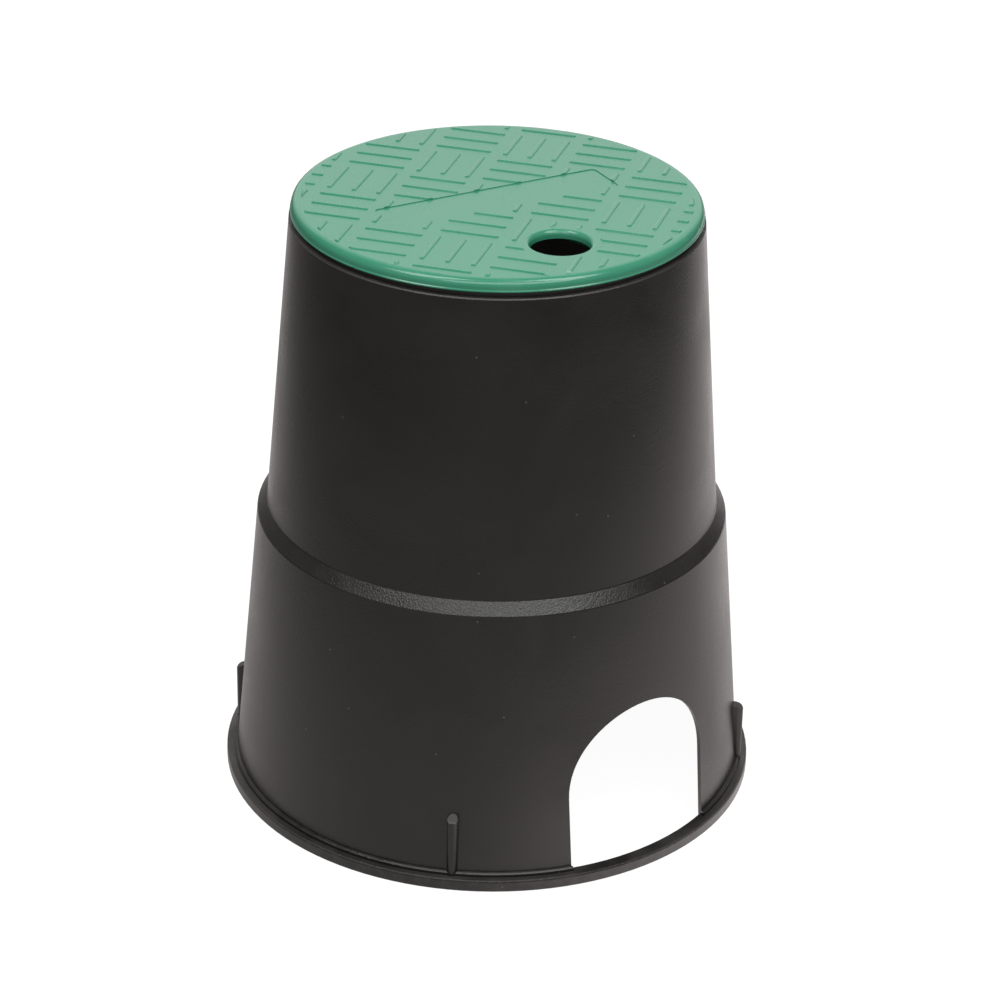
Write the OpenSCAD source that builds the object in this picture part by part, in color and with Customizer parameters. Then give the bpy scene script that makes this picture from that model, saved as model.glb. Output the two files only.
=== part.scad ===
// Round irrigation valve box: a tapered, open-footed body in black plastic with two pipe
// arches, and a round green lid with a tread of woven bars and a finger hole.
// Origin: centre of the foot circle at ground level. +Z is up, the pipes run along Y, and
// the front arch faces -Y.

/* [Overall] */
// Height from the ground to the top of the tread bars
total_h = 240; // [228:1:252]
// Diameter across the foot flange
foot_d = 210; // [204:1:220]
// Diameter of the lid across its lower lip
lid_d = 155; // [150:1:160]

/* [Body wall] */
// Thickness of the moulded wall
wall = 1.8; // [1.6:0.1:2.8]
// Lean of the lower wall from upright, in degrees
lower_draft = 5.05; // [4:0.05:6]
// Height at which the lower wall ends and the shoulder starts
shoulder_z = 111.4; // [100:0.1:125]
// Height that the sloping shoulder covers
shoulder_h = 4.8; // [3.5:0.1:7]
// Distance that the wall steps in over the shoulder
shoulder_in = 3.9; // [2.5:0.1:5]
// Radius that softens both edges of the shoulder
shoulder_round = 0.9; // [0.4:0.1:1.4]

/* [Foot] */
// Reach of the foot flange out from the wall
flange_w = 4.4; // [3.4:0.1:6]
// Thickness of the foot flange
flange_t = 4.7; // [3.5:0.1:6.5]
// Radius on the outer edges of the flange
flange_round = 0.7; // [0.3:0.1:1.2]
// Distance that the flange reaches in behind the wall's face
flange_in = 0.7; // [0.4:0.1:1.2]
// Reach of the low step between the wall and the flange
step_w = 1.5; // [0.8:0.1:2.2]
// Height of the step above the flange
step_h = 1.6; // [0.8:0.1:2.6]
// Radius on the step's edge
step_round = 0.5; // [0.2:0.1:0.7]

/* [Pipe arches] */
// Width of each arch
arch_w = 65; // [50:1:76]
// Height at which the arch's straight sides end and its round top starts
arch_spring = 34.5; // [24:0.5:44]

/* [Foot ribs] */
// Number of upright ribs round the foot
foot_ribs = 4; // [2:2:4]
// Angle of the first rib from the front arch, in degrees
foot_rib_turn = 45; // [35:1:55]
// Width of each rib
foot_rib_w = 4.2; // [3:0.1:6]
// Reach of each rib out from the wall's foot
foot_rib_out = 2.1; // [1:0.1:3]
// Height of each rib's front edge above the ground
foot_rib_z = 28; // [18:0.5:40]
// Slope of each rib's top, in degrees
foot_rib_slope = 28; // [15:1:45]
// Radius where a rib's top turns down into its front
foot_rib_round = 2.4; // [1:0.1:2.5]

/* [Mouth] */
// Distance that the wall's top edge stands proud of the lid
wall_proud = 0.5; // [0.2:0.1:1.2]
// Height of the neck that shows as a dark line under the lid
neck_h = 2; // [1:0.1:3]
// Distance that the neck stands back from the wall
neck_in = 1.9; // [1:0.1:2.4]
// Thickness of the rim at the neck
mouth_t = 1.8; // [1.6:0.1:3]
// Height of the thickened rim inside the mouth
mouth_h = 10; // [8:0.5:16]
// Chamfer that leads the lid into the mouth
lead_in = 0.8; // [0.4:0.1:1.2]
// Radius on the outer edge of the wall's top
top_round = 0.45; // [0.2:0.05:0.6]

/* [Lid] */
// Height of the lid's rim, from its lower edge to the plate's top
lid_edge_h = 4.6; // [4.4:0.1:7]
// Radius that rounds the lid's top edge
lid_round = 3; // [1.5:0.1:3]
// Height of the thin lip along the rim's lower edge
lip_h = 0.9; // [0.6:0.1:1.2]
// Distance that the lip stands proud of the rim
lip_out = 0.3; // [0.15:0.05:0.5]
// Radius on the lip's lower edge
lip_round = 0.25; // [0.1:0.05:0.3]
// Thickness of the lid's plate
plate_t = 2.4; // [2:0.1:3]
// Gap between the lid's seat and the body's rim
seat_gap = 0.2; // [0.1:0.05:0.5]
// Depth that the locating skirt reaches below the seat
skirt_h = 8; // [5:0.5:12]
// Thickness of the skirt
skirt_t = 1.8; // [1.4:0.1:2.4]
// Gap between the skirt and the mouth, all round
skirt_gap = 0.5; // [0.3:0.05:0.8]
// Turn of the lid in the mouth: 0 puts the finger hole at the front arch
lid_turn = -9; // [-180:0.5:180]

/* [Lid underside] */
// Number of stiffening ribs under the lid
web_count = 8; // [4:4:12]
// Thickness of each stiffening rib
web_t = 1.6; // [1.2:0.1:2.2]
// Depth of the stiffening ribs below the plate
web_h = 5; // [3:0.5:6]
// Outer diameter of the hub that the ribs run into
hub_d = 26; // [20:1:36]

/* [Finger hole] */
// Diameter of the finger hole
hole_d = 22.2; // [18:0.1:25]
// Distance of the finger hole from the lid's centre
hole_at = 47.2; // [40:0.1:54]
// Radius that rounds the hole's upper edge
hole_round = 2; // [1:0.1:2.4]
// Thickness of the lid round the hole
hole_depth = 3.2; // [3:0.1:5]
// Width of the collar under the plate round the hole
collar_w = 2; // [1.5:0.1:3]

/* [Tread] */
// Height of the tread bars above the plate
bar_h = 0.45; // [0.4:0.05:0.8]
// Height of the steep edge at a bar's foot
bar_edge_h = 0.25; // [0.15:0.05:0.3]
// Width of a bar where it leaves the plate
bar_w = 1.8; // [1.6:0.1:3]
// Width of a bar's flat top
bar_top_w = 0.7; // [0.4:0.1:1.2]
// Length of a bar
bar_l = 22; // [18:0.1:24]
// Distance between the bars of one group
bar_pitch = 9.65; // [8:0.05:10]
// Size of the square that each group of bars fills
tile = 26.6; // [26:0.1:32]
// Bars in each group
bars_per_tile = 3; // [2:1:3]
// Width of the bare border between the tread and the lid's edge
tread_margin = 4.2; // [3.6:0.1:8]
// Width of the bare ring round the finger hole
hole_margin = 3.9; // [2.5:0.1:6]
// Length of the bare sunken panel across the lid
panel_l = 94; // [70:0.5:104]
// Width of the sunken panel
panel_w = 19.5; // [14:0.5:26]
// Depth of the sunken panel
panel_deep = 0.3; // [0.2:0.05:1]
// Radius of the panel's corners
panel_round = 2; // [1:0.1:4]

/* [Hidden] */
$fn = 96;
// Overlap that fuses one form into the next
bite = 0.3;
// Overlap by which a cutting form stands clear of a face
clear = 1;
// Offset that keeps two upright faces from lying in one plane
ease = 0.1;

// Outline radii of the body
foot_r = foot_d / 2;
wall_foot_r = foot_r - flange_w;
step_z = flange_t + step_h;
shoulder_low_r = wall_foot_r - tan(lower_draft) * (shoulder_z - step_z);
shoulder_high_r = shoulder_low_r - shoulder_in;
shoulder_top_z = shoulder_z + shoulder_h;
wall_top_r = lid_d / 2 + wall_proud;
neck_r = wall_top_r - neck_in;
mouth_r = neck_r - mouth_t;

// Heights of the mouth and the lid
plate_z = total_h - bar_h;
seat_z = plate_z - lid_edge_h;
body_top_z = seat_z - seat_gap;
neck_z = body_top_z - neck_h;

// Radii of the lid
lip_r = lid_d / 2;
rim_r = lip_r - lip_out;
skirt_r = mouth_r - skirt_gap;
skirt_z = seat_z - skirt_h;
plate_low_z = plate_z - plate_t;
hole_r = hole_d / 2;

// Field that the tread fills, and the ring round the finger hole that it leaves bare
tread_r = lip_r - tread_margin;
bare_r = hole_r + hole_margin;

// Radius of the upper wall's inner face at height z
function upper_inner_r(z) =
    shoulder_high_r - wall
    + (wall_top_r - shoulder_high_r) * (z - shoulder_top_z) / (neck_z - shoulder_top_z);

// Radius of the lower wall's outer face at height z
function lower_outer_r(z) = wall_foot_r - tan(lower_draft) * (z - step_z);

function unit(v) = v / norm(v);

// Chords that stand for a quarter round of radius r
function chords(r) = r < 0.6 ? 1 : r < 1.5 ? 2 : 4;

// The points that replace corner b, between a and c, by an arc of radius r
function arc_corner(a, b, c, r) =
    let (to_a = unit(a - b), to_c = unit(c - b))
    let (half = acos(to_a * to_c) / 2)
    let (centre = b + unit(to_a + to_c) * r / sin(half))
    let (first = b + to_a * r / tan(half) - centre)
    let (last = b + to_c * r / tan(half) - centre)
    let (start = atan2(first[1], first[0]))
    let (raw = atan2(last[1], last[0]) - start)
    let (sweep = raw > 180 ? raw - 360 : raw < -180 ? raw + 360 : raw)
    let (steps = ceil(chords(r) * abs(sweep) / 90))
    [for (i = [0 : steps])
        centre + r * [cos(start + sweep * i / steps), sin(start + sweep * i / steps)]];

// An outline from [x, y, corner radius] points, where radius 0 leaves a sharp corner
function softened(points) =
    let (n = len(points), xy = [for (p = points) [p[0], p[1]]])
    [for (i = [0 : n - 1])
        each points[i][2] > 0
            ? arc_corner(xy[(i + n - 1) % n], xy[i], xy[(i + 1) % n], points[i][2])
            : [xy[i]]];

// Wall, shoulder, step and mouth, turned in one piece
module shell() {
    inner_drop = wall * tan(atan2(shoulder_in, shoulder_h) / 2);
    high_in_z = shoulder_top_z - inner_drop;
    rim_low_z = body_top_z - mouth_h;
    rim_low_r = upper_inner_r(rim_low_z);
    rotate_extrude()
        polygon(softened([
            [wall_foot_r, 0, 0],
            [wall_foot_r, flange_t - bite, 0],
            [wall_foot_r + step_w, flange_t - bite, 0],
            [wall_foot_r + step_w, step_z, step_round],
            [wall_foot_r, step_z, 0],
            [shoulder_low_r, shoulder_z, shoulder_round],
            [shoulder_high_r, shoulder_top_z, shoulder_round],
            [wall_top_r, neck_z, top_round],
            [neck_r, neck_z, 0],
            [neck_r, body_top_z, 0],
            [mouth_r + lead_in, body_top_z, 0],
            [mouth_r, body_top_z - lead_in, 0],
            [mouth_r, rim_low_z, 0],
            [rim_low_r, rim_low_z - (rim_low_r - mouth_r), 0],
            [shoulder_high_r - wall, high_in_z, 0],
            [shoulder_low_r - wall, shoulder_z - inner_drop, 0],
            [wall_foot_r - wall + tan(lower_draft) * step_z, 0, 0]
        ]));
}

// Straight-sided, round-topped opening that runs through both sides of the wall
module pipe_arches() {
    rotate([90, 0, 0])
        linear_extrude(height = foot_d, center = true)
            union() {
                translate([0, arch_spring]) circle(d = arch_w);
                translate([-arch_w / 2, -clear]) square([arch_w, arch_spring + clear]);
            }
}

// Flat ring that the box stands on; it carries on across the foot of each arch
module foot_flange() {
    rotate_extrude()
        polygon(softened([
            [wall_foot_r - flange_in, 0, 0],
            [foot_r, 0, flange_round / 2],
            [foot_r, flange_t, flange_round],
            [wall_foot_r - flange_in, flange_t, 0]
        ]));
}

// Upright rib along +X: round in front, and domed at the top in both directions
module foot_rib() {
    front_r = wall_foot_r + foot_rib_out;
    round_r = foot_rib_w / 2;
    back_r = lower_outer_r(foot_rib_z) - wall / 2;
    face_r = front_r + bite;
    side = round_r + ease;
    dome_r = round_r - ease;
    crown_z = foot_rib_z + (front_r - back_r) * tan(foot_rib_slope);
    intersection() {
        rotate([90, 0, 0])
            linear_extrude(height = foot_rib_w + 2 * clear, center = true)
                polygon(softened([
                    [lower_outer_r(flange_t) - wall / 2, flange_t - bite, 0],
                    [face_r, flange_t - bite, 0],
                    [face_r, foot_rib_z, foot_rib_round],
                    [back_r, foot_rib_z + (face_r - back_r) * tan(foot_rib_slope), 0]
                ]));
        translate([back_r - clear, 0, 0])
            rotate([90, 0, 90])
                linear_extrude(height = foot_rib_out + foot_rib_w)
                    polygon(softened([
                        [-side, 0, 0],
                        [side, 0, 0],
                        [side, crown_z - bite, dome_r],
                        [-side, crown_z - bite, dome_r]
                    ]));
        linear_extrude(height = shoulder_z)
            union() {
                translate([front_r - round_r, 0]) circle(r = round_r);
                translate([back_r - clear, -round_r])
                    square([front_r - round_r - back_r + clear, foot_rib_w]);
            }
    }
}

module body() {
    color([0.12, 0.12, 0.125])
        union() {
            difference() {
                shell();
                pipe_arches();
            }
            foot_flange();
            for (i = [0 : foot_ribs - 1])
                rotate([0, 0, foot_rib_turn - 90 + i * 360 / foot_ribs])
                    foot_rib();
        }
}

// Plate, rounded rim, lower lip and locating skirt, turned in one piece
module lid_shell() {
    turn_r = rim_r - lid_round;
    turn_z = plate_z - lid_round;
    rotate_extrude()
        union() {
            polygon(softened([
                [0, plate_low_z, 0],
                [skirt_r - skirt_t, plate_low_z, 0],
                [skirt_r - skirt_t, skirt_z, 0],
                [skirt_r - skirt_t / 3, skirt_z, 0],
                [skirt_r, skirt_z + skirt_t / 2, 0],
                [skirt_r, seat_z, 0],
                [lip_r, seat_z, lip_round],
                [lip_r, seat_z + lip_h - lip_out, 0],
                [rim_r, seat_z + lip_h, 0],
                [rim_r, turn_z, 0],
                [turn_r, plate_z, 0],
                [0, plate_z, 0]
            ]));
            intersection() {
                translate([turn_r, turn_z]) circle(r = lid_round);
                translate([turn_r - bite, turn_z - bite]) square(lid_round + clear);
            }
        }
}

// Ridge along X, 2 * half wide where it leaves the plate: a steep edge at the foot, then a
// gentle slope up to a flat top
module ridge(half) {
    edge_in = bar_edge_h / 2;
    slope_in = (bar_w - bar_top_w) / 2;
    rotate([90, 0, 90])
        linear_extrude(height = bar_l + bar_w, center = true)
            polygon([
                [-half - bite / 2, plate_z - bite],
                [half + bite / 2, plate_z - bite],
                [half - edge_in, plate_z + bar_edge_h],
                [half - slope_in, plate_z + bar_h],
                [slope_in - half, plate_z + bar_h],
                [edge_in - half, plate_z + bar_edge_h]
            ]);
}

// One bar of the tread along +X, sloping off on both sides and at its eight-sided ends
module bar() {
    // Half distance between the flanks that cut the corners off
    corner = (bar_l - bar_w) / sqrt(8) + bar_w / 2;
    intersection() {
        ridge(bar_w / 2);
        rotate([0, 0, 90]) ridge(bar_l / 2);
        rotate([0, 0, 45]) ridge(corner);
        rotate([0, 0, -45]) ridge(corner);
    }
}

// Bars in groups that alternate in direction like a weave, turned so that the finger hole
// lies on a diagonal of the groups
module weave() {
    reach = ceil(tread_r / tile);
    rotate([0, 0, 45])
        for (i = [-reach : reach], j = [-reach : reach])
            if (norm([i, j]) * tile < tread_r + tile / 2)
                translate([i * tile, j * tile])
                    rotate([0, 0, (i + j) % 2 == 0 ? 0 : 90])
                        for (k = [0 : bars_per_tile - 1])
                            translate([0, (k - (bars_per_tile - 1) / 2) * bar_pitch])
                                bar();
}

// The weave, sloped off at the lid's border and round the finger hole
module tread() {
    over = bar_h + clear;
    intersection() {
        weave();
        translate([0, 0, plate_z - clear])
            difference() {
                cylinder(r1 = tread_r + clear, r2 = tread_r - over, h = clear + over);
                translate([0, -hole_at, 0])
                    cylinder(r1 = bare_r - clear, r2 = bare_r + over, h = clear + over);
            }
    }
}

// Bare sunken panel across the lid's middle
module panel_cut() {
    translate([0, 0, plate_z - panel_deep])
        linear_extrude(height = panel_deep + bar_h + clear)
            polygon(softened([
                [-panel_l / 2, -panel_w / 2, panel_round],
                [panel_l / 2, -panel_w / 2, panel_round],
                [panel_l / 2, panel_w / 2, panel_round],
                [-panel_l / 2, panel_w / 2, panel_round]
            ]));
}

// Hub and radial ribs that stiffen the plate from below
module webs() {
    web_low_z = plate_low_z - web_h;
    hub_r = hub_d / 2;
    hub_mid_r = hub_r - web_t / 2;
    translate([0, 0, web_low_z])
        difference() {
            cylinder(r = hub_r, h = web_h + bite);
            translate([0, 0, -clear]) cylinder(r = hub_r - web_t, h = web_h + clear);
        }
    for (i = [0 : web_count - 1])
        rotate([0, 0, (i + 0.5) * 360 / web_count])
            translate([hub_mid_r, -web_t / 2, web_low_z])
                cube([skirt_r - skirt_t / 2 - hub_mid_r, web_t, web_h + bite]);
}

// Finger hole through plate and collar, with a rounded upper edge
module finger_hole() {
    low_z = plate_low_z - web_h - clear;
    high_z = plate_z + bar_h + clear;
    // The rounding crests just over the plate, so that the two faces cross at an angle
    crest_z = plate_z + hole_round / 30;
    turn_r = hole_r + hole_round;
    turn_z = crest_z - hole_round;
    rotate_extrude()
        union() {
            translate([0, low_z]) square([hole_r, high_z - low_z]);
            difference() {
                translate([0, turn_z]) square([turn_r, high_z - turn_z]);
                translate([turn_r, turn_z]) circle(r = hole_round);
            }
        }
}

module lid() {
    color([0.33, 0.66, 0.53])
        rotate([0, 0, lid_turn])
            difference() {
                union() {
                    lid_shell();
                    tread();
                    webs();
                    translate([0, -hole_at, plate_z - hole_depth])
                        cylinder(r = hole_r + collar_w, h = hole_depth - plate_t + bite);
                }
                panel_cut();
                translate([0, -hole_at, 0]) finger_hole();
            }
}

body();
lid();
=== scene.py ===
import math
import bpy
from mathutils import Matrix, Vector


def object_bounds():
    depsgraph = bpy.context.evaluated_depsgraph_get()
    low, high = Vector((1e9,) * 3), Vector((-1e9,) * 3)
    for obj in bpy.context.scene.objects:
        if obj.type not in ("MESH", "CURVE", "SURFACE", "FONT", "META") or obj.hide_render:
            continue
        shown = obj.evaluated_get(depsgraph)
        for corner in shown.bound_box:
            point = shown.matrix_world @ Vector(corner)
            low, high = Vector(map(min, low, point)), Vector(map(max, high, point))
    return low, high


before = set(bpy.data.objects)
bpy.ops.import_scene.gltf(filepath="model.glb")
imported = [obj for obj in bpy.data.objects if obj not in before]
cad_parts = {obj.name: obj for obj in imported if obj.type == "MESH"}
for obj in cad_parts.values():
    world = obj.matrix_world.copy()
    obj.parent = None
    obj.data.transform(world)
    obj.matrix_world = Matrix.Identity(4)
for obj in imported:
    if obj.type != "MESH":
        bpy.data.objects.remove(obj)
cad_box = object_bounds()


# Body: the tapered box that is buried round a valve, one injection moulding in black
# polyethylene that stands loose on its foot. The etched mould gives it a fine satin grain, a
# little cloudy where the melt flowed. Its upward faces are painted paler, as painted light
# from above, and the foot's outer edge carries a painted highlight.
def new_group(name, numbers, outputs):
    group = bpy.data.node_groups.new(name, "ShaderNodeTree")
    for label, value in numbers:
        socket = group.interface.new_socket(label, in_out="INPUT", socket_type="NodeSocketFloat")
        socket.default_value = value
    for label in outputs:
        group.interface.new_socket(label, in_out="OUTPUT", socket_type="NodeSocketFloat")
    start = group.nodes.new("NodeGroupInput")
    end = group.nodes.new("NodeGroupOutput")
    return group, start, end


def place_group(tree, group, numbers):
    placed = tree.nodes.new("ShaderNodeGroup")
    placed.node_tree = group
    for label, value in numbers:
        placed.inputs[label].default_value = value
    return placed


def noise_of(tree, place, detail, roughness):
    noise = tree.nodes.new("ShaderNodeTexNoise")
    noise.inputs["Detail"].default_value = detail
    noise.inputs["Roughness"].default_value = roughness
    tree.links.new(place.outputs["Object"], noise.inputs["Vector"])
    return noise


def span_of(tree, source, low, high, first, last):
    span = tree.nodes.new("ShaderNodeMapRange")
    span.interpolation_type = "SMOOTHSTEP"
    span.inputs["From Min"].default_value = low
    span.inputs["From Max"].default_value = high
    span.inputs["To Min"].default_value = first
    span.inputs["To Max"].default_value = last
    tree.links.new(source, span.inputs["Value"])
    return span.outputs["Result"]


def worked(tree, operation, first, second):
    joined = tree.nodes.new("ShaderNodeMath")
    joined.operation = operation
    tree.links.new(first, joined.inputs[0])
    tree.links.new(second, joined.inputs[1])
    return joined.outputs["Value"]


def upward(tree, place):
    parts = tree.nodes.new("ShaderNodeSeparateXYZ")
    tree.links.new(place.outputs["Normal"], parts.inputs["Vector"])
    return parts.outputs["Z"]


def new_plastic(name):
    plastic = bpy.data.materials.new(name)
    plastic.use_nodes = True
    plastic.node_tree.nodes.clear()
    out = plastic.node_tree.nodes.new("ShaderNodeOutputMaterial")
    skin = plastic.node_tree.nodes.new("ShaderNodeBsdfPrincipled")
    skin.inputs["IOR"].default_value = 1.5
    plastic.node_tree.links.new(skin.outputs["BSDF"], out.inputs["Surface"])
    return plastic, plastic.node_tree, skin


def clouded(tree, clouding, low, high, deep, pale):
    tone = tree.nodes.new("ShaderNodeValToRGB")
    tone.color_ramp.elements[0].position = low
    tone.color_ramp.elements[0].color = deep
    tone.color_ramp.elements[1].position = high
    tone.color_ramp.elements[1].color = pale
    tree.links.new(clouding, tone.inputs["Fac"])
    return tone.outputs["Color"]


def laid_over(tree, under, colour, mask):
    layer = tree.nodes.new("ShaderNodeMix")
    layer.data_type = "RGBA"
    layer.inputs["B"].default_value = colour
    tree.links.new(mask, layer.inputs["Factor"])
    tree.links.new(under, layer.inputs["A"])
    return layer.outputs["Result"]


def embossed(tree, skin, height, depth, strength):
    relief = tree.nodes.new("ShaderNodeBump")
    relief.inputs["Distance"].default_value = depth
    tree.links.new(strength, relief.inputs["Strength"])
    tree.links.new(height, relief.inputs["Height"])
    tree.links.new(relief.outputs["Normal"], skin.inputs["Normal"])


def dress(piece, plastic):
    piece.data.materials.clear()
    piece.data.materials.append(plastic)


# Grain of the etched mould and slow clouding of the melt.
grain, start, end = new_group(
    "moulded_grain",
    [("Grain", 1400.0), ("Cloud", 20.0)],
    ["Height", "Clouding"],
)
place = grain.nodes.new("ShaderNodeTexCoord")
fine = noise_of(grain, place, 2.0, 0.6)
cloud = noise_of(grain, place, 5.0, 0.55)
cloud.inputs["Distortion"].default_value = 0.6
grain.links.new(start.outputs["Grain"], fine.inputs["Scale"])
grain.links.new(start.outputs["Cloud"], cloud.inputs["Scale"])
grain.links.new(fine.outputs["Fac"], end.inputs["Height"])
grain.links.new(cloud.outputs["Fac"], end.inputs["Clouding"])

# Painted light: faces that look up are painted paler in uneven patches, as if lit from above.
# Loose specks lie anywhere on the skin.
specks_a_metre = 90.0
top_light_and_specks, start, end = new_group(
    "painted_top_light_and_specks",
    [("Patch", 60.0), ("Speck Size", 0.03)],
    ["Film", "Specks"],
)
place = top_light_and_specks.nodes.new("ShaderNodeTexCoord")
patch = noise_of(top_light_and_specks, place, 6.0, 0.65)
top_light_and_specks.links.new(start.outputs["Patch"], patch.inputs["Scale"])
lying = span_of(top_light_and_specks, upward(top_light_and_specks, place), 0.45, 0.95, 0.0, 1.0)
uneven = span_of(top_light_and_specks, patch.outputs["Fac"], 0.3, 0.7, 0.35, 1.0)
top_light_and_specks.links.new(worked(top_light_and_specks, "MULTIPLY", lying, uneven), end.inputs["Film"])
cell = top_light_and_specks.nodes.new("ShaderNodeTexVoronoi")
cell.inputs["Scale"].default_value = specks_a_metre
top_light_and_specks.links.new(place.outputs["Object"], cell.inputs["Vector"])
inside = worked(top_light_and_specks, "LESS_THAN", cell.outputs["Distance"], start.outputs["Speck Size"])
top_light_and_specks.links.new(inside, end.inputs["Specks"])

foot_r = cad_box[1][0]
highlight_in = 0.0010
highlight_full = 0.0001
deep_black = (0.0078, 0.0073, 0.0062, 1)
pale_black = (0.0142, 0.0133, 0.0118, 1)
# Painted light: a paler grey laid on faces that look up, as if lit from above.
top_light_grey = (0.052, 0.049, 0.046, 1)
# Painted highlight: the paler grey painted along the foot's outer edge.
edge_highlight_grey = (0.026, 0.025, 0.023, 1)
speck_grey = (0.085, 0.080, 0.074, 1)
black, tree, skin = new_plastic("black_plastic")
mould = place_group(tree, grain, [("Grain", 1300.0), ("Cloud", 18.0)])
tops_and_specks = place_group(tree, top_light_and_specks, [("Patch", 70.0)])
tone = clouded(tree, mould.outputs["Clouding"], 0.35, 0.72, deep_black, pale_black)
# Painted light: faces that look up are laid over with the paler grey, in uneven patches.
top_light = worked(tree, "MULTIPLY", tops_and_specks.outputs["Film"], mould.outputs["Clouding"])
top_lit = laid_over(tree, tone, top_light_grey, top_light)

# Painted highlight: the outermost millimetre of the foot is painted paler in streaks, all the
# way round.
place = tree.nodes.new("ShaderNodeTexCoord")
level_place = tree.nodes.new("ShaderNodeVectorMath")
level_place.operation = "MULTIPLY"
level_place.inputs[1].default_value = (1.0, 1.0, 0.0)
reach = tree.nodes.new("ShaderNodeVectorMath")
reach.operation = "LENGTH"
tree.links.new(place.outputs["Object"], level_place.inputs[0])
tree.links.new(level_place.outputs["Vector"], reach.inputs[0])
edge = span_of(tree, reach.outputs["Value"], foot_r - highlight_in, foot_r - highlight_full, 0.0, 1.0)
streak = noise_of(tree, place, 4.0, 0.7)
streak.inputs["Scale"].default_value = 220.0
streaked = span_of(tree, streak.outputs["Fac"], 0.42, 0.66, 0.15, 0.8)
edge_highlighted = laid_over(tree, top_lit, edge_highlight_grey, worked(tree, "MULTIPLY", edge, streaked))
specked = laid_over(tree, edge_highlighted, speck_grey, tops_and_specks.outputs["Specks"])
tree.links.new(specked, skin.inputs["Base Color"])

# The grain is deepest on the sloping shoulder, and the faces painted paler on top are rougher.
dull = tree.nodes.new("ShaderNodeMath")
dull.operation = "MULTIPLY_ADD"
dull.inputs[1].default_value = 0.3
tree.links.new(tops_and_specks.outputs["Film"], dull.inputs[0])
tree.links.new(span_of(tree, mould.outputs["Clouding"], 0.3, 0.7, 0.215, 0.325), dull.inputs[2])
tree.links.new(dull.outputs["Value"], skin.inputs["Roughness"])
sloping = span_of(tree, upward(tree, place), 0.3, 0.6, 0.42, 1.0)
embossed(tree, skin, mould.outputs["Height"], 0.0002, sloping)
dress(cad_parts["body"], black)


# Lid: a round cover, one injection moulding in green polyethylene, that lies loose on the
# body's mouth with its skirt inside. The plate has an etched grain, and the rim, the bars'
# flanks and the finger hole's lip are smoother.
deep_green = (0.029, 0.221, 0.129, 1)
pale_green = (0.053, 0.249, 0.154, 1)
speck_green = (0.060, 0.190, 0.130, 1)
green, tree, skin = new_plastic("green_plastic")
mould = place_group(tree, grain, [("Grain", 1600.0), ("Cloud", 32.0)])
tops_and_specks = place_group(tree, top_light_and_specks, [("Patch", 90.0), ("Speck Size", 0.022)])
tone = clouded(tree, mould.outputs["Clouding"], 0.3, 0.72, deep_green, pale_green)
specked = laid_over(tree, tone, speck_green, tops_and_specks.outputs["Specks"])
tree.links.new(specked, skin.inputs["Base Color"])
level_face = upward(tree, tree.nodes.new("ShaderNodeTexCoord"))
smoother = span_of(tree, level_face, 0.9, 0.98, -0.1, 0.0)
satin = span_of(tree, mould.outputs["Clouding"], 0.3, 0.7, 0.26, 0.35)
tree.links.new(worked(tree, "ADD", smoother, satin), skin.inputs["Roughness"])
etched = span_of(tree, level_face, 0.9, 0.98, 0.1, 0.4)
embossed(tree, skin, mould.outputs["Height"], 0.0001, etched)
dress(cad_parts["lid"], green)


# Camera: it stands where the photograph was taken from, a little over a metre away, and looks
# down at the box. "away" is level and points from the camera past the box.
camera_place = Vector((-0.708806, -0.907231, 0.709741))
camera_pan = math.radians(-38.1689)
camera_tilt = math.radians(62.5787)
camera_roll = math.radians(1.2322)
away = Vector((-camera_place.x, -camera_place.y, 0.0)).normalized()
right = Vector((away.y, -away.x, 0.0))
scene = bpy.context.scene
scene.view_settings.view_transform = "Standard"
eye = bpy.data.cameras.new("camera")
eye.sensor_width = 36.0
eye.lens = 119.4726
eye.clip_start = 0.05
eye.clip_end = 90.0
camera = bpy.data.objects.new("camera", eye)
scene.collection.objects.link(camera)
camera.matrix_world = (
    Matrix.Translation(camera_place)
    @ Matrix.Rotation(camera_pan, 4, "Z")
    @ Matrix.Rotation(camera_tilt, 4, "X")
    @ Matrix.Rotation(camera_roll, 4, "Z")
)
scene.camera = camera


# Studio floor: one wide sheet of pale card, white to the camera, that keeps a soft shadow.
# To all other rays the card glows with painted light, which the box mirrors and is lit by:
# bright behind the box, most of all on the right, dimmer in front and far out at the sides,
# and bright again close to the foot at the front right, with a warm tint.
def ramp_of(tree, source, levels):
    ramp = tree.nodes.new("ShaderNodeValToRGB")
    while len(ramp.color_ramp.elements) < len(levels):
        ramp.color_ramp.elements.new(0.5)
    for stop, (spot, value) in zip(ramp.color_ramp.elements, levels):
        stop.position = spot
        stop.color = (value, value, value, 1)
    tree.links.new(source, ramp.inputs["Fac"])
    return ramp.outputs["Color"]


def along(tree, place, way, low, high):
    dot = tree.nodes.new("ShaderNodeVectorMath")
    dot.operation = "DOT_PRODUCT"
    dot.inputs[1].default_value = way
    span = tree.nodes.new("ShaderNodeMapRange")
    span.inputs["From Min"].default_value = low
    span.inputs["From Max"].default_value = high
    tree.links.new(place, dot.inputs[0])
    tree.links.new(dot.outputs["Value"], span.inputs["Value"])
    return span


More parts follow.
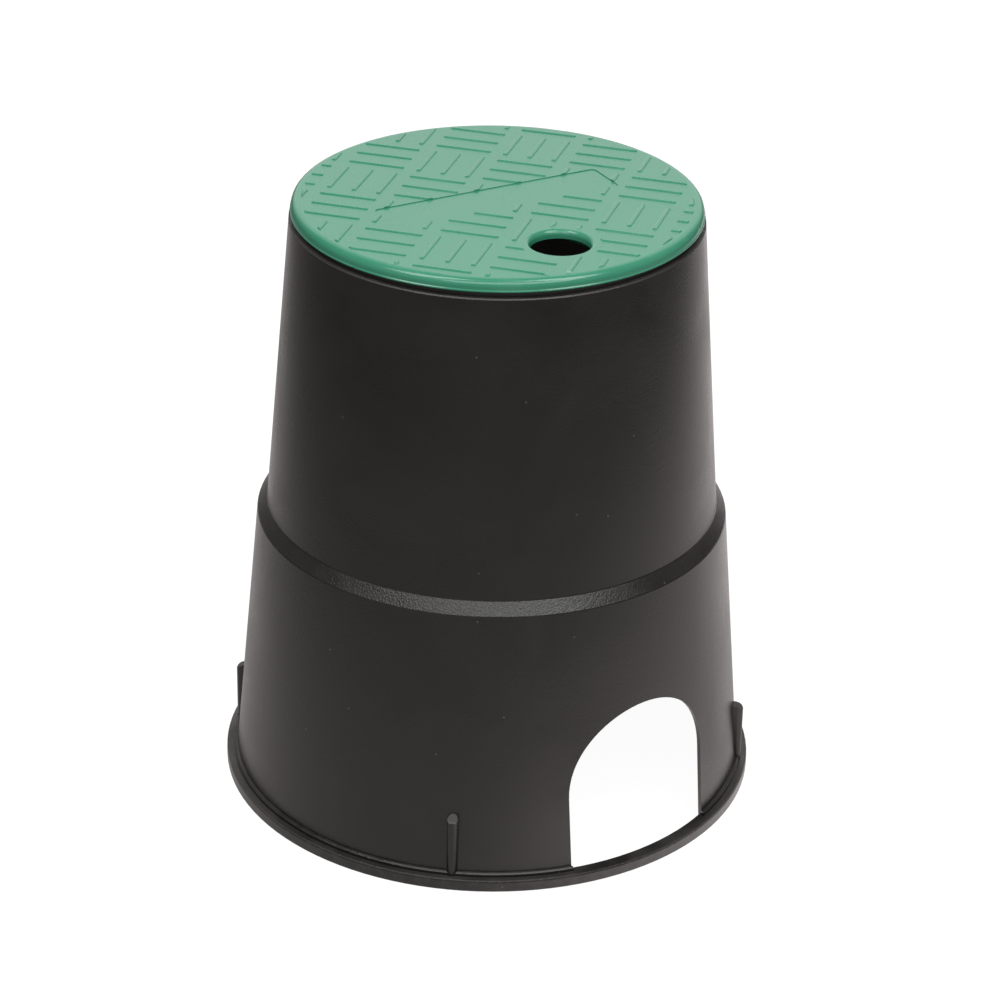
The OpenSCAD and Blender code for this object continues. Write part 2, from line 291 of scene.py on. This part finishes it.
floor_drop = 0.0003
bpy.ops.mesh.primitive_plane_add(size=60, location=(0, 0, -floor_drop))
floor = bpy.context.object
floor.name = "floor"
card = bpy.data.materials.new("pale_card")
card.use_nodes = True
card.cycles.emission_sampling = "NONE"
tree = card.node_tree
tree.nodes.clear()
out = tree.nodes.new("ShaderNodeOutputMaterial")
seen = tree.nodes.new("ShaderNodeLightPath")
matte = tree.nodes.new("ShaderNodeBsdfDiffuse")
albedo = tree.nodes.new("ShaderNodeMapRange")
albedo.inputs["To Min"].default_value = 0.06
albedo.inputs["To Max"].default_value = 0.14
tree.links.new(seen.outputs["Is Camera Ray"], albedo.inputs["Value"])
tree.links.new(albedo.outputs["Result"], matte.inputs["Color"])
place = tree.nodes.new("ShaderNodeTexCoord").outputs["Object"]
across = along(tree, place, right, -1.0, 1.0).outputs["Result"]
behind = ramp_of(tree, across, [
    (0.1, 0.06), (0.2, 0.11), (0.3, 0.26), (0.37, 0.48), (0.5, 0.66),
    (0.62, 0.93), (0.69, 0.88), (0.77, 0.48), (0.86, 0.06),
])
before = ramp_of(tree, across, [
    (0.1, 0.08), (0.2, 0.14), (0.3, 0.22), (0.42, 0.36), (0.55, 0.42),
    (0.68, 0.36), (0.78, 0.24), (0.9, 0.08),
])
depth = along(tree, place, away, -0.5, 0.0).outputs["Result"]
near = tree.nodes.new("ShaderNodeMix")
tree.links.new(span_of(tree, depth, 0.0, 1.0, 0.0, 1.0), near.inputs["Factor"])
tree.links.new(before, near.inputs["A"])
tree.links.new(behind, near.inputs["B"])
far = along(tree, place, away, -1.0, -0.5)
far.inputs["To Min"].default_value = 0.4
dim = worked(tree, "MULTIPLY", near.outputs["Result"], far.outputs["Result"])
reach = tree.nodes.new("ShaderNodeVectorMath")
reach.operation = "LENGTH"
tree.links.new(place, reach.inputs[0])
ring = span_of(tree, reach.outputs["Value"], foot_r + 0.015, foot_r + 0.155, 1.1, 0.0)
front = span_of(tree, along(tree, place, away, -0.1, 0.0).outputs["Result"], 0.0, 1.0, 1.0, 0.0)
side = span_of(tree, along(tree, place, right, -0.03, 0.1).outputs["Result"], 0.0, 1.0, 0.0, 1.0)
# Painted light: a patch of glow on the card close to the foot at the front right, for the box to
# mirror.
patch = worked(tree, "MULTIPLY", ring, worked(tree, "MULTIPLY", front, side))
# Painted light: to rays other than the camera's the card glows by these graded amounts, and to
# the camera evenly white.
amount = tree.nodes.new("ShaderNodeMix")
amount.inputs["B"].default_value = 0.96
tree.links.new(seen.outputs["Is Camera Ray"], amount.inputs["Factor"])
tree.links.new(worked(tree, "ADD", patch, dim), amount.inputs["A"])
tint = tree.nodes.new("ShaderNodeMix")
tint.data_type = "RGBA"
tint.inputs["A"].default_value = (1.0, 0.93, 0.92, 1)
tint.inputs["B"].default_value = (1, 1, 1, 1)
tree.links.new(seen.outputs["Is Camera Ray"], tint.inputs["Factor"])
card_glow = tree.nodes.new("ShaderNodeEmission")
tree.links.new(tint.outputs["Result"], card_glow.inputs["Color"])
tree.links.new(amount.outputs["Result"], card_glow.inputs["Strength"])
both = tree.nodes.new("ShaderNodeAddShader")
tree.links.new(matte.outputs["BSDF"], both.inputs[0])
tree.links.new(card_glow.outputs["Emission"], both.inputs[1])
tree.links.new(both.outputs["Shader"], out.inputs["Surface"])
floor.data.materials.append(card)


# Studio room: white to the camera. What lights the box is one pale area low behind it, which
# the lid's plate mirrors, and dim elsewhere.
pale_height = math.radians(27.4)
pale_way = math.cos(pale_height) * away + Vector((0.0, 0.0, math.sin(pale_height)))
pale_strength = 1.35
world = bpy.data.worlds.new("studio_room")
scene.world = world
world.use_nodes = True
tree = world.node_tree
tree.nodes.clear()
out = tree.nodes.new("ShaderNodeOutputWorld")
way = tree.nodes.new("ShaderNodeTexCoord")
share = along(tree, way.outputs["Generated"], pale_way, -1.0, 1.0)
share.inputs["To Max"].default_value = 0.7
level = ramp_of(tree, share.outputs["Result"], [
    (0.0, 0.2), (0.1, 0.3), (0.25, 0.25), (0.4, 0.14), (0.6, 0.14),
    (0.64, 0.5), (0.675, 1.0),
])
strength = tree.nodes.new("ShaderNodeMath")
strength.operation = "MULTIPLY"
strength.inputs[1].default_value = pale_strength
tree.links.new(level, strength.inputs[0])
glow = tree.nodes.new("ShaderNodeBackground")
glow.inputs["Color"].default_value = (1.0, 0.975, 0.965, 1)
tree.links.new(strength.outputs["Value"], glow.inputs["Strength"])
plain = tree.nodes.new("ShaderNodeBackground")
plain.inputs["Color"].default_value = (1, 1, 1, 1)
plain.inputs["Strength"].default_value = 1.0
seen = tree.nodes.new("ShaderNodeLightPath")
pick = tree.nodes.new("ShaderNodeMixShader")
tree.links.new(seen.outputs["Is Camera Ray"], pick.inputs["Fac"])
tree.links.new(glow.outputs["Background"], pick.inputs[1])
tree.links.new(plain.outputs["Background"], pick.inputs[2])
tree.links.new(pick.outputs["Shader"], out.inputs["Surface"])


# Soft boxes: two small ones high up to the left and right of the camera draw the bright line
# along the lid's rim, and a wide one lower in front lights the sloping shoulder and the rim.
box_middle = Vector((0.0, 0.0, 0.15))
lamp_distance = 1.5


def soft_box(name, bearing, height, wide, tall, watts):
    light = bpy.data.lights.new(name, "AREA")
    light.shape = "RECTANGLE"
    light.size = wide
    light.size_y = tall
    light.energy = watts
    lamp = bpy.data.objects.new(name, light)
    scene.collection.objects.link(lamp)
    turn = math.radians(bearing)
    rise = math.radians(height)
    level_way = math.sin(turn) * right - math.cos(turn) * away
    lamp_way = math.cos(rise) * level_way + Vector((0.0, 0.0, math.sin(rise)))
    aim = (-lamp_way).to_track_quat("-Z", "Y").to_matrix().to_4x4()
    lamp.matrix_world = Matrix.Translation(box_middle + lamp_distance * lamp_way) @ aim


soft_box("high_left", -60.0, 63.0, 0.42, 0.9, 8.2)
soft_box("high_right", 58.0, 62.0, 0.42, 0.9, 8.2)
soft_box("front_low", 8.0, 48.0, 1.6, 0.55, 11.0)
